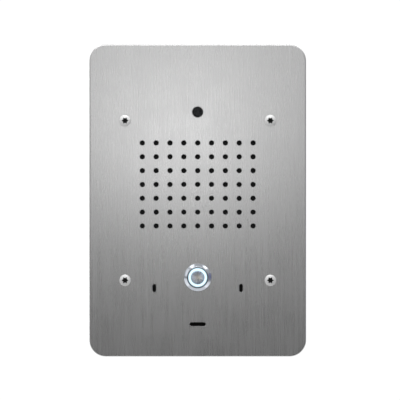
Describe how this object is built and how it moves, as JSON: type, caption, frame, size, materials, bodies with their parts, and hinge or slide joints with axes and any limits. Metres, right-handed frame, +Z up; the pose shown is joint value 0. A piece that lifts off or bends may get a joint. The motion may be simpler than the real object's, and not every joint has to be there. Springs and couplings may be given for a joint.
{
  "type": "door intercom panel",
  "caption": "Flush-mounting door intercom panel: a brushed steel plate with a speaker grille, a pinhole camera, a lit call button and a microphone slot, and its electronics behind.",
  "frame": {"origin": "centre of the wall plane, on which the rim gasket seats", "axes": "+Z up the panel, +Y into the wall, +X to the right as a visitor sees the panel; the front faces -Y"},
  "size_m": [0.141, 0.0404, 0.203],
  "materials": {
    "plate_steel": "vertical brushed grain",
    "screw_steel": "bright machined",
    "plated_steel": "zinc plated",
    "copper_flash": "copper flashed steel",
    "chromed_steel": "polished",
    "spun_steel": "spun",
    "light_ring": "diffusing, lit",
    "nylon": "moulded",
    "black_rubber": "matt",
    "foam": "closed-cell foam",
    "black_cloth": "woven",
    "vent_membrane": "porous",
    "black_plastic": "fine moulded texture",
    "gloss_black_plastic": "smooth moulded",
    "black_anodised": "black anodised",
    "basket_steel": "pressed, passivated",
    "ferrite": "sintered",
    "cone_paper": "coated pulp",
    "spider_cloth": "resin-dipped weave",
    "copper_winding": "enamelled wire",
    "fibre_strip": "pressed board",
    "clear_glass": "coated",
    "lens_glass": "coated lens",
    "smoked_acrylic": "smoked, polished",
    "board_green": "solder mask",
    "brass": "turned",
    "contact_brass": "tinned brass",
    "spring_steel": "drawn",
    "ivory_plastic": "moulded",
    "relay_blue": "moulded",
    "terminal_green": "moulded",
    "trimmer_blue": "moulded",
    "capacitor_sleeve": "shrink sleeve",
    "jack_shield": "tinned shell",
    "lamp_epoxy": "diffused epoxy",
    "red_wire": "PVC",
    "blue_wire": "PVC",
    "grey_wire": "PVC",
    "black_wire": "PVC"
  },
  "bodies": {
    "panel": {"face_plate": "plate_steel", "rim_gasket": "foam", "panel_screws": "screw_steel", "screw_retainers": "nylon", "weld_studs": "copper_flash", "stud_nuts": "plated_steel", "speaker_mesh": "black_cloth", "speaker_gasket": "foam", "speaker_carrier": "black_plastic", "driver_screws": "plated_steel", "speaker_basket": "basket_steel", "speaker_pole_plates": "plated_steel", "speaker_magnet": "ferrite", "speaker_surround": "black_rubber", "speaker_spider": "spider_cloth", "speaker_terminals": "fibre_strip", "speaker_lead": "red_wire", "camera_window": "clear_glass", "camera_bracket": "plated_steel", "camera_lead": "black_wire", "button_housing": "chromed_steel", "button_seal": "black_rubber", "button_washer": "plated_steel", "button_nut": "plated_steel", "button_spring": "spring_steel", "button_contact_block": "black_plastic", "button_terminals": "contact_brass", "button_lead": "blue_wire", "light_guides": "smoked_acrylic", "indicator_leds": "lamp_epoxy", "microphone_membrane": "vent_membrane", "microphone_boot": "black_rubber", "microphone_capsule": "plated_steel", "microphone_lead": "grey_wire", "main_board": "board_green", "board_standoffs": "brass", "board_screws": "plated_steel", "board_chips": "gloss_black_plastic", "capacitors": "capacitor_sleeve", "relay": "relay_blue", "lead_connectors": "ivory_plastic", "network_jack": "jack_shield", "terminal_block": "terminal_green", "trimmer_bodies": "trimmer_blue", "tamper_switch": "black_plastic"},
    "call_button": {"button_actuator": "chromed_steel", "button_light_ring": "light_ring", "button_cap": "spun_steel", "button_retaining_clip": "spring_steel"},
    "speaker_diaphragm": {"speaker_cone": "cone_paper", "speaker_voice_coil": "copper_winding"},
    "camera": {"camera_housing": "black_anodised", "camera_back_cover": "black_plastic", "camera_lens_barrel": "black_anodised", "camera_lens": "lens_glass", "camera_sensor_board": "board_green", "camera_pivot_screws": "plated_steel"},
    "volume_trimmer": {"volume_trimmer": "nylon"},
    "microphone_trimmer": {"microphone_trimmer": "nylon"},
    "tamper_plunger": {"tamper_plunger": "nylon"}
  },
  "joints": [
    {"name": "call_button_press", "type": "slide", "parent": "panel", "child": "call_button", "axis": [0, 1, 0], "range_m": [0, 0.002], "stiffness_N_per_m": 1200, "springref_m": -0.0012, "deforming": ["button_spring"]},
    {"name": "speaker_cone_travel", "type": "slide", "parent": "panel", "child": "speaker_diaphragm", "axis": [0, 1, 0], "range_m": [-0.0008, 0.0008], "stiffness_N_per_m": 900, "deforming": ["speaker_surround", "speaker_spider"]},
    {"name": "camera_tilt", "type": "hinge", "parent": "panel", "child": "camera", "pos_m": [0, 0.005, 0.0575], "axis": [1, 0, 0], "range_deg": [-10, 10], "deforming": ["camera_lead"]},
    {"name": "volume_trimmer_turn", "type": "hinge", "parent": "panel", "child": "volume_trimmer", "pos_m": [-0.0465, 0.0204, 0.02], "axis": [0, 1, 0], "range_deg": [-135, 135]},
    {"name": "microphone_trimmer_turn", "type": "hinge", "parent": "panel", "child": "microphone_trimmer", "pos_m": [-0.0465, 0.0204, 0.007], "axis": [0, 1, 0], "range_deg": [-135, 135]},
    {"name": "tamper_plunger_press", "type": "slide", "parent": "panel", "child": "tamper_plunger", "axis": [-1, 0, 0], "range_m": [0, 0.0016], "stiffness_N_per_m": 400, "springref_m": -0.001}
  ]
}
